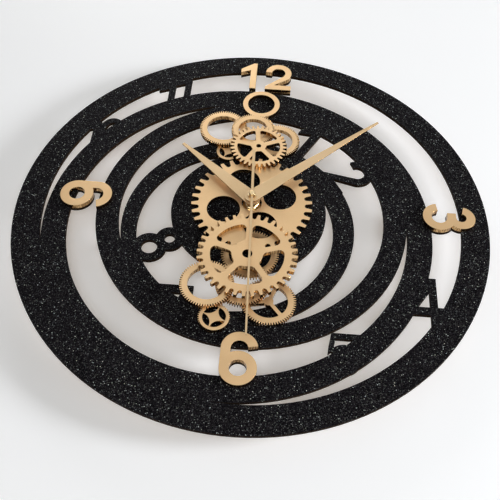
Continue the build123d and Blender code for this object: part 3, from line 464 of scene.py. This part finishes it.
def make_object(name, shape, material):
    """Turns a finished shape into an object with one material."""
    mesh = bpy.data.meshes.new(name)
    shape.to_mesh(mesh)
    shape.free()
    mesh.materials.append(material)
    made = bpy.data.objects.new(name, mesh)
    bpy.context.scene.collection.objects.link(made)
    return made


def put(name, shape, body, slot, finish_name=None):
    """Makes a finished shape a piece of the clock. It has its slot's finish, unless another one is named."""
    bmesh.ops.recalc_face_normals(shape, faces=shape.faces)
    piece = make_object(name, shape, FINISHES[finish_name or slot])
    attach(piece, body)


def soften(shape, edges, width, segments):
    """Rounds some edges of a shape."""
    bmesh.ops.bevel(
        shape, geom=edges, offset=width, segments=segments, profile=0.5, affect="EDGES", material=-1)


def block(shape, centre, size):
    """Adds a block and gives its edges."""
    place = Matrix.Translation(centre) @ Matrix.Diagonal((*size, 1.0))
    corners = set(bmesh.ops.create_cube(shape, size=1.0, matrix=place)["verts"])
    return [edge for edge in shape.edges if edge.verts[0] in corners]


def ring_on(shape, centre, axis, inner, outer, height, edge=0.00008, steps=56):
    """A low ring with softened edges, standing on a face: its section is spun about the axis."""
    side = axis.orthogonal().normalized()
    section = (
        (inner, 0.0), (inner, height - edge), (inner + edge, height),
        (outer - edge, height), (outer, height - edge), (outer, 0.0))
    corners = [shape.verts.new(centre + side * far + axis * up) for far, up in section]
    sides = [shape.edges.new((a, b)) for a, b in zip(corners, corners[1:] + corners[:1])]
    bmesh.ops.spin(
        shape, geom=corners + sides, cent=centre, axis=axis, angle=2 * math.pi, steps=steps, use_merge=True)
    bmesh.ops.remove_doubles(shape, verts=shape.verts, dist=1e-7)


def raise_all(shape, height, edge):
    """Raises a flat shape towards the back and softens its new top's edges."""
    grown = bmesh.ops.extrude_face_region(shape, geom=list(shape.faces), use_keep_orig=True)["geom"]
    tops = {part for part in grown if isinstance(part, bmesh.types.BMFace)}
    corners = [part for part in grown if isinstance(part, bmesh.types.BMVert)]
    bmesh.ops.translate(shape, vec=BACKWARD * height, verts=corners)
    rims = [rim for rim in shape.edges if sum(face in tops for face in rim.link_faces) == 1]
    soften(shape, rims, width=edge, segments=2)


def flat_patch(shape, centre, width, height, cells=1):
    """Adds a flat patch that faces the back, with some cells along each side, and gives its faces."""
    upright = Matrix.Rotation(math.radians(-90), 4, "X")
    place = Matrix.Translation(centre) @ upright @ Matrix.Diagonal((width / 2, height / 2, 1.0, 1.0))
    made = bmesh.ops.create_grid(shape, x_segments=cells, y_segments=cells, size=1.0, matrix=place)
    corners = set(made["verts"])
    return [face for face in shape.faces if face.verts[0] in corners]


# Moulded and turned details on the movement

COVER_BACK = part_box("movement_back_cover")[1].y
# Flat details are sunk this far into the face they stand on.
SINK = 0.00005


def middle(node):
    """The middle of a solid's box."""
    low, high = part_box(node)
    return (low + high) / 2


def on_cover(x, z):
    """A place on the back cover."""
    return Vector((x, COVER_BACK - SINK, z))


def cover_border():
    """The raised border along the back cover's outline."""
    margin = 0.0015
    width = 0.0008
    low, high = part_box("movement_back_cover")
    centre = on_cover((low.x + high.x) / 2, (low.z + high.z) / 2)
    border = bmesh.new()
    sheet = flat_patch(border, centre, high.x - low.x - 2 * margin, high.z - low.z - 2 * margin)
    bmesh.ops.inset_region(border, faces=sheet, thickness=width, use_boundary=True, use_even_offset=True)
    bmesh.ops.delete(border, geom=sheet, context="FACES_ONLY")
    raise_all(border, height=0.00045, edge=0.0001)
    put("cover_border", border, "clock", "cover_plastic")


def bearing_rings():
    """The rings round the bearings in the back cover."""
    bearings = bmesh.new()
    for wheel in ("intermediate_wheel", "rotor", "third_wheel", "seconds_wheel"):
        at = middle(wheel)
        ring_on(bearings, on_cover(at.x, at.z), BACKWARD, inner=0.0011, outer=0.0021, height=0.0004)
    put("bearing_rings", bearings, "clock", "cover_plastic")


def polarity_signs():
    """Plus and minus signs above the battery's ends. The plus is nine squares without the corner ones."""
    size = 0.0036
    stroke = 0.0012
    beyond_arms = 0.0013
    from_middle = 0.0205
    level = -0.0445
    plus_place = on_cover(from_middle, level)
    minus_place = on_cover(-from_middle, level)
    signs = bmesh.new()
    squares = flat_patch(signs, plus_place, size, size, cells=3)
    corners = [face for face in squares if (face.calc_center_median() - plus_place).length > beyond_arms]
    bmesh.ops.delete(signs, geom=corners, context="FACES")
    flat_patch(signs, minus_place, size, stroke)
    raise_all(signs, height=0.0004, edge=0.00008)
    put("polarity_signs", signs, "clock", "cover_plastic")


def spoke(degrees):
    """The direction across the back at an angle from X towards Z."""
    return Vector((math.cos(math.radians(degrees)), 0.0, math.sin(math.radians(degrees))))


def setting_arrow():
    """The bent arrow round the lower side of the setting knob, with a head at each end."""
    inner = 0.0061
    outer = 0.0068
    first_end = 205
    last_end = 335
    head_radius = 0.00127
    head_reach = 0.00064
    knob = middle("setting_knob")
    centre = on_cover(knob.x, knob.z)
    arrow = bmesh.new()
    start = [arrow.verts.new(centre + spoke(first_end) * far) for far in (inner, outer)]
    bmesh.ops.spin(
        arrow, geom=[*start, arrow.edges.new(start)], cent=centre, axis=-BACKWARD,
        angle=math.radians(last_end - first_end), steps=24)
    for end, way in ((first_end, -1), (last_end, 1)):
        out = spoke(end)
        tip = Vector((-out.z, 0.0, out.x)) * way
        lie = Matrix((out, tip, out.cross(tip))).transposed().to_4x4()
        place = Matrix.Translation(centre + out * ((inner + outer) / 2) + tip * head_reach)
        bmesh.ops.create_circle(arrow, cap_ends=True, segments=3, radius=head_radius, matrix=place @ lie)
    bmesh.ops.recalc_face_normals(arrow, faces=arrow.faces)
    raise_all(arrow, height=0.00035, edge=0.00006)
    put("setting_arrow", arrow, "clock", "cover_plastic")


def cover_hooks():
    """Snap hooks on the case's side walls that hold the cover, sloped at the inner back edge."""
    case_wall = 0.0015
    size = (0.0011, 0.0008, 0.0062)
    inside_wall = 0.0005
    behind_cover = 0.00045
    low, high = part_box("movement_case")
    hooks = bmesh.new()
    for side, flank in ((-1, low.x), (1, high.x)):
        wall = flank - side * case_wall
        for z in (-0.0225, -0.0375):
            centre = Vector((wall - side * inside_wall, COVER_BACK + behind_cover, z))
            slope = [
                edge for edge in block(hooks, centre, size)
                if all(v.co.y > centre.y and (v.co.x - centre.x) * side < 0 for v in edge.verts)]
            soften(hooks, slope, width=0.0005, segments=3)
    put("cover_hooks", hooks, "clock", "case_plastic")


def grip_ribs():
    """A row of ribs on each side of the case, rounded on the outside."""
    count = 9
    pitch = 0.0023
    lowest = -0.0445
    size = (0.0007, 0.0115, 0.0009)
    past_side = 0.0001
    low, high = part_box("movement_case")
    ribs = bmesh.new()
    for side, flank in ((-1, low.x), (1, high.x)):
        for step in range(count):
            centre = Vector((flank + side * past_side, (low.y + high.y) / 2, lowest + pitch * step))
            outer = [
                edge for edge in block(ribs, centre, size)
                if all((v.co.x - centre.x) * side > 0 for v in edge.verts)]
            soften(ribs, outer, width=0.00025, segments=3)
    put("grip_ribs", ribs, "clock", "case_plastic")


def dress_battery():
    """The sealing ring round the plus nub, and the shrunk edges of the sleeve."""
    nub = 0.001
    from_minus_end = 0.0006
    from_shoulder = 0.0011
    low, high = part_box("battery")
    axis = Vector((1.0, 0.0, 0.0))
    centre = (low + high) / 2
    shoulder = high.x - nub
    seal = bmesh.new()
    foot = Vector((shoulder - SINK, centre.y, centre.z))
    ring_on(seal, foot, axis, inner=0.0029, outer=0.0058, height=0.00025, edge=0.00006)
    put("battery_seal", seal, "battery", "battery_sleeve", "knob_plastic")
    wrap = bmesh.new()
    for x in (low.x + from_minus_end, shoulder - from_shoulder):
        foot = Vector((x, centre.y, centre.z))
        ring_on(wrap, foot, axis, inner=0.0069, outer=0.00718, height=0.0005, edge=0.00005, steps=72)
    put("sleeve_edges", wrap, "battery", "battery_sleeve")


def press_hanger():
    """The rim pressed round the hanger's hole, on the side away from the wall."""
    sheet = 0.0008
    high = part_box("hanger_plate")[1]
    rim = bmesh.new()
    foot = Vector((0.0, high.y - sheet + SINK, 0.0))
    ring_on(rim, foot, -BACKWARD, inner=0.0037, outer=0.0047, height=0.0003, edge=0.0001)
    put("hanger_hole_rim", rim, "clock", "steel")


cover_border()
bearing_rings()
polarity_signs()
setting_arrow()
cover_hooks()
grip_ribs()
dress_battery()
press_hanger()


# The white surface, the light and the camera

# Each lamp's name, place, width in metres and power in watts. All of them face the arbor.
LAMPS = (
    ("right_softbox", (1.88, -0.72, -0.14), 0.55, 34.0),
    ("front_softbox", (0.10, -1.024, -0.836), 0.7, 4.6),
    ("top_softbox", (-0.30, -0.34, 1.20), 0.6, 5.4),
    ("back_softbox", (-0.45, 1.15, 0.55), 1.2, 9.0),
)


def pale_surface():
    """The white surface that the clock lies on. From behind, the clock's back is seen through it."""
    glow = 0.23
    cool = (0.885, 0.915, 0.965)
    light = (0.915, 0.94, 0.98)
    material, tree, shader = finish(
        "pale_surface", Roughness=0.6, Specular_IOR_Level=0.25, Emission_Color=(1.0, 0.975, 0.925))
    place = add(tree, "ShaderNodeTexCoord").outputs["Object"]
    cloud = noise(tree, place, scale=5.0, detail=2.0, roughness=0.5)
    path = add(tree, "ShaderNodeLightPath")
    seen = calc(tree, "MAXIMUM", path.outputs["Is Camera Ray"], mirror_rays(tree, path))
    fill(tree, shader, Base_Color=blend_colours(tree, cloud, cool, light))
    fill(tree, shader, Emission_Strength=calc(tree, "MULTIPLY", seen, glow))
    behind = add(tree, "ShaderNodeNewGeometry").outputs["Backfacing"]
    through = calc(tree, "MAXIMUM", path.outputs["Is Diffuse Ray"], path.outputs["Is Shadow Ray"])
    clear = add(tree, "ShaderNodeBsdfTransparent")
    surface = mix_shaders(tree, calc(tree, "MAXIMUM", behind, through), shader, clear)
    fill(tree, tree.nodes["Material Output"], Surface=surface.outputs[0])
    return material


def lay_surface():
    """Lays the white surface just behind the clock's back."""
    reach = 3.0
    gap = 0.0001
    shape = bmesh.new()
    upright = Matrix.Rotation(math.radians(90), 4, "X")
    bmesh.ops.create_grid(shape, x_segments=4, y_segments=4, size=reach, matrix=upright)
    bmesh.ops.translate(shape, vec=(0.0, WALL + gap, 0.0), verts=shape.verts)
    surface = make_object("pale_surface", shape, pale_surface())


def hang_lamp(name, place, width, power):
    """A round soft lamp that faces the arbor."""
    lamp = bpy.data.lights.new(name, "AREA")
    lamp.shape = "DISK"
    lamp.size = width
    lamp.energy = power
    holder = bpy.data.objects.new(name, lamp)
    holder.location = place
    holder.rotation_mode = "QUATERNION"
    holder.rotation_quaternion = (ARBOR - Vector(place)).to_track_quat("-Z", "Y")
    bpy.context.scene.collection.objects.link(holder)


def backdrop(tree, colour, strength=1.0):
    """A background of one colour or of blended ones."""
    node = add(tree, "ShaderNodeBackground")
    fill(tree, node, Color=colour, Strength=strength)
    return node


def light_room():
    """The lamps and a pale room, which shiny faces see as a white wall, darker below and at its sides."""
    air = (1.0, 0.95, 0.87)
    wall_shade = (0.34, 0.34, 0.35)
    wall_light = (1.0, 1.0, 1.0)
    background = (0.97, 0.975, 0.985)
    world = bpy.data.worlds.new("soft_room")
    bpy.context.scene.world = world
    world.use_nodes = True
    tree = world.node_tree
    tree.nodes.clear()
    towards = add(tree, "ShaderNodeSeparateXYZ")
    feed(tree, towards.inputs[0], add(tree, "ShaderNodeTexCoord").outputs["Generated"])
    right_end = ramp(tree, towards.outputs["X"], 0.42, 0.05)
    left_end = ramp(tree, towards.outputs["X"], -0.48, -0.12)
    rise = ramp(tree, towards.outputs["Z"], -0.5, 0.6)
    bright = calc(tree, "MULTIPLY", rise, calc(tree, "MULTIPLY", right_end, left_end))
    soft = backdrop(tree, air, strength=0.16)
    mirrored = backdrop(tree, blend_colours(tree, bright, wall_shade, wall_light))
    path = add(tree, "ShaderNodeLightPath")
    lit = mix_shaders(tree, mirror_rays(tree, path), soft, mirrored)
    room = mix_shaders(tree, path.outputs["Is Camera Ray"], lit, backdrop(tree, background))
    fill(tree, add(tree, "ShaderNodeOutputWorld"), Surface=room.outputs[0])
    for name, place, width, power in LAMPS:
        hang_lamp(name, place, width, power)


def set_camera():
    """The photograph's viewpoint: low over the 6, a little right of the middle, rolled slightly."""
    stand = Vector((0.01828, -0.5134, -0.4385))
    aim = Vector((0.00164, -0.0198, -0.07624))
    roll = math.radians(1.87)
    camera = bpy.data.objects.new("camera", bpy.data.cameras.new("camera"))
    camera.data.lens = 54.0
    camera.data.sensor_width = 36.0
    sight = (aim - stand).normalized()
    right = sight.cross(-BACKWARD).normalized()
    up = right.cross(sight)
    across = right * math.cos(roll) + up * math.sin(roll)
    above = up * math.cos(roll) - right * math.sin(roll)
    turn = Matrix((across, above, -sight)).transposed()
    camera.matrix_world = Matrix.Translation(stand) @ turn.to_4x4()
    bpy.context.scene.collection.objects.link(camera)
    bpy.context.scene.camera = camera


lay_surface()
light_room()
set_camera()
bpy.context.scene.view_settings.view_transform = "Standard"
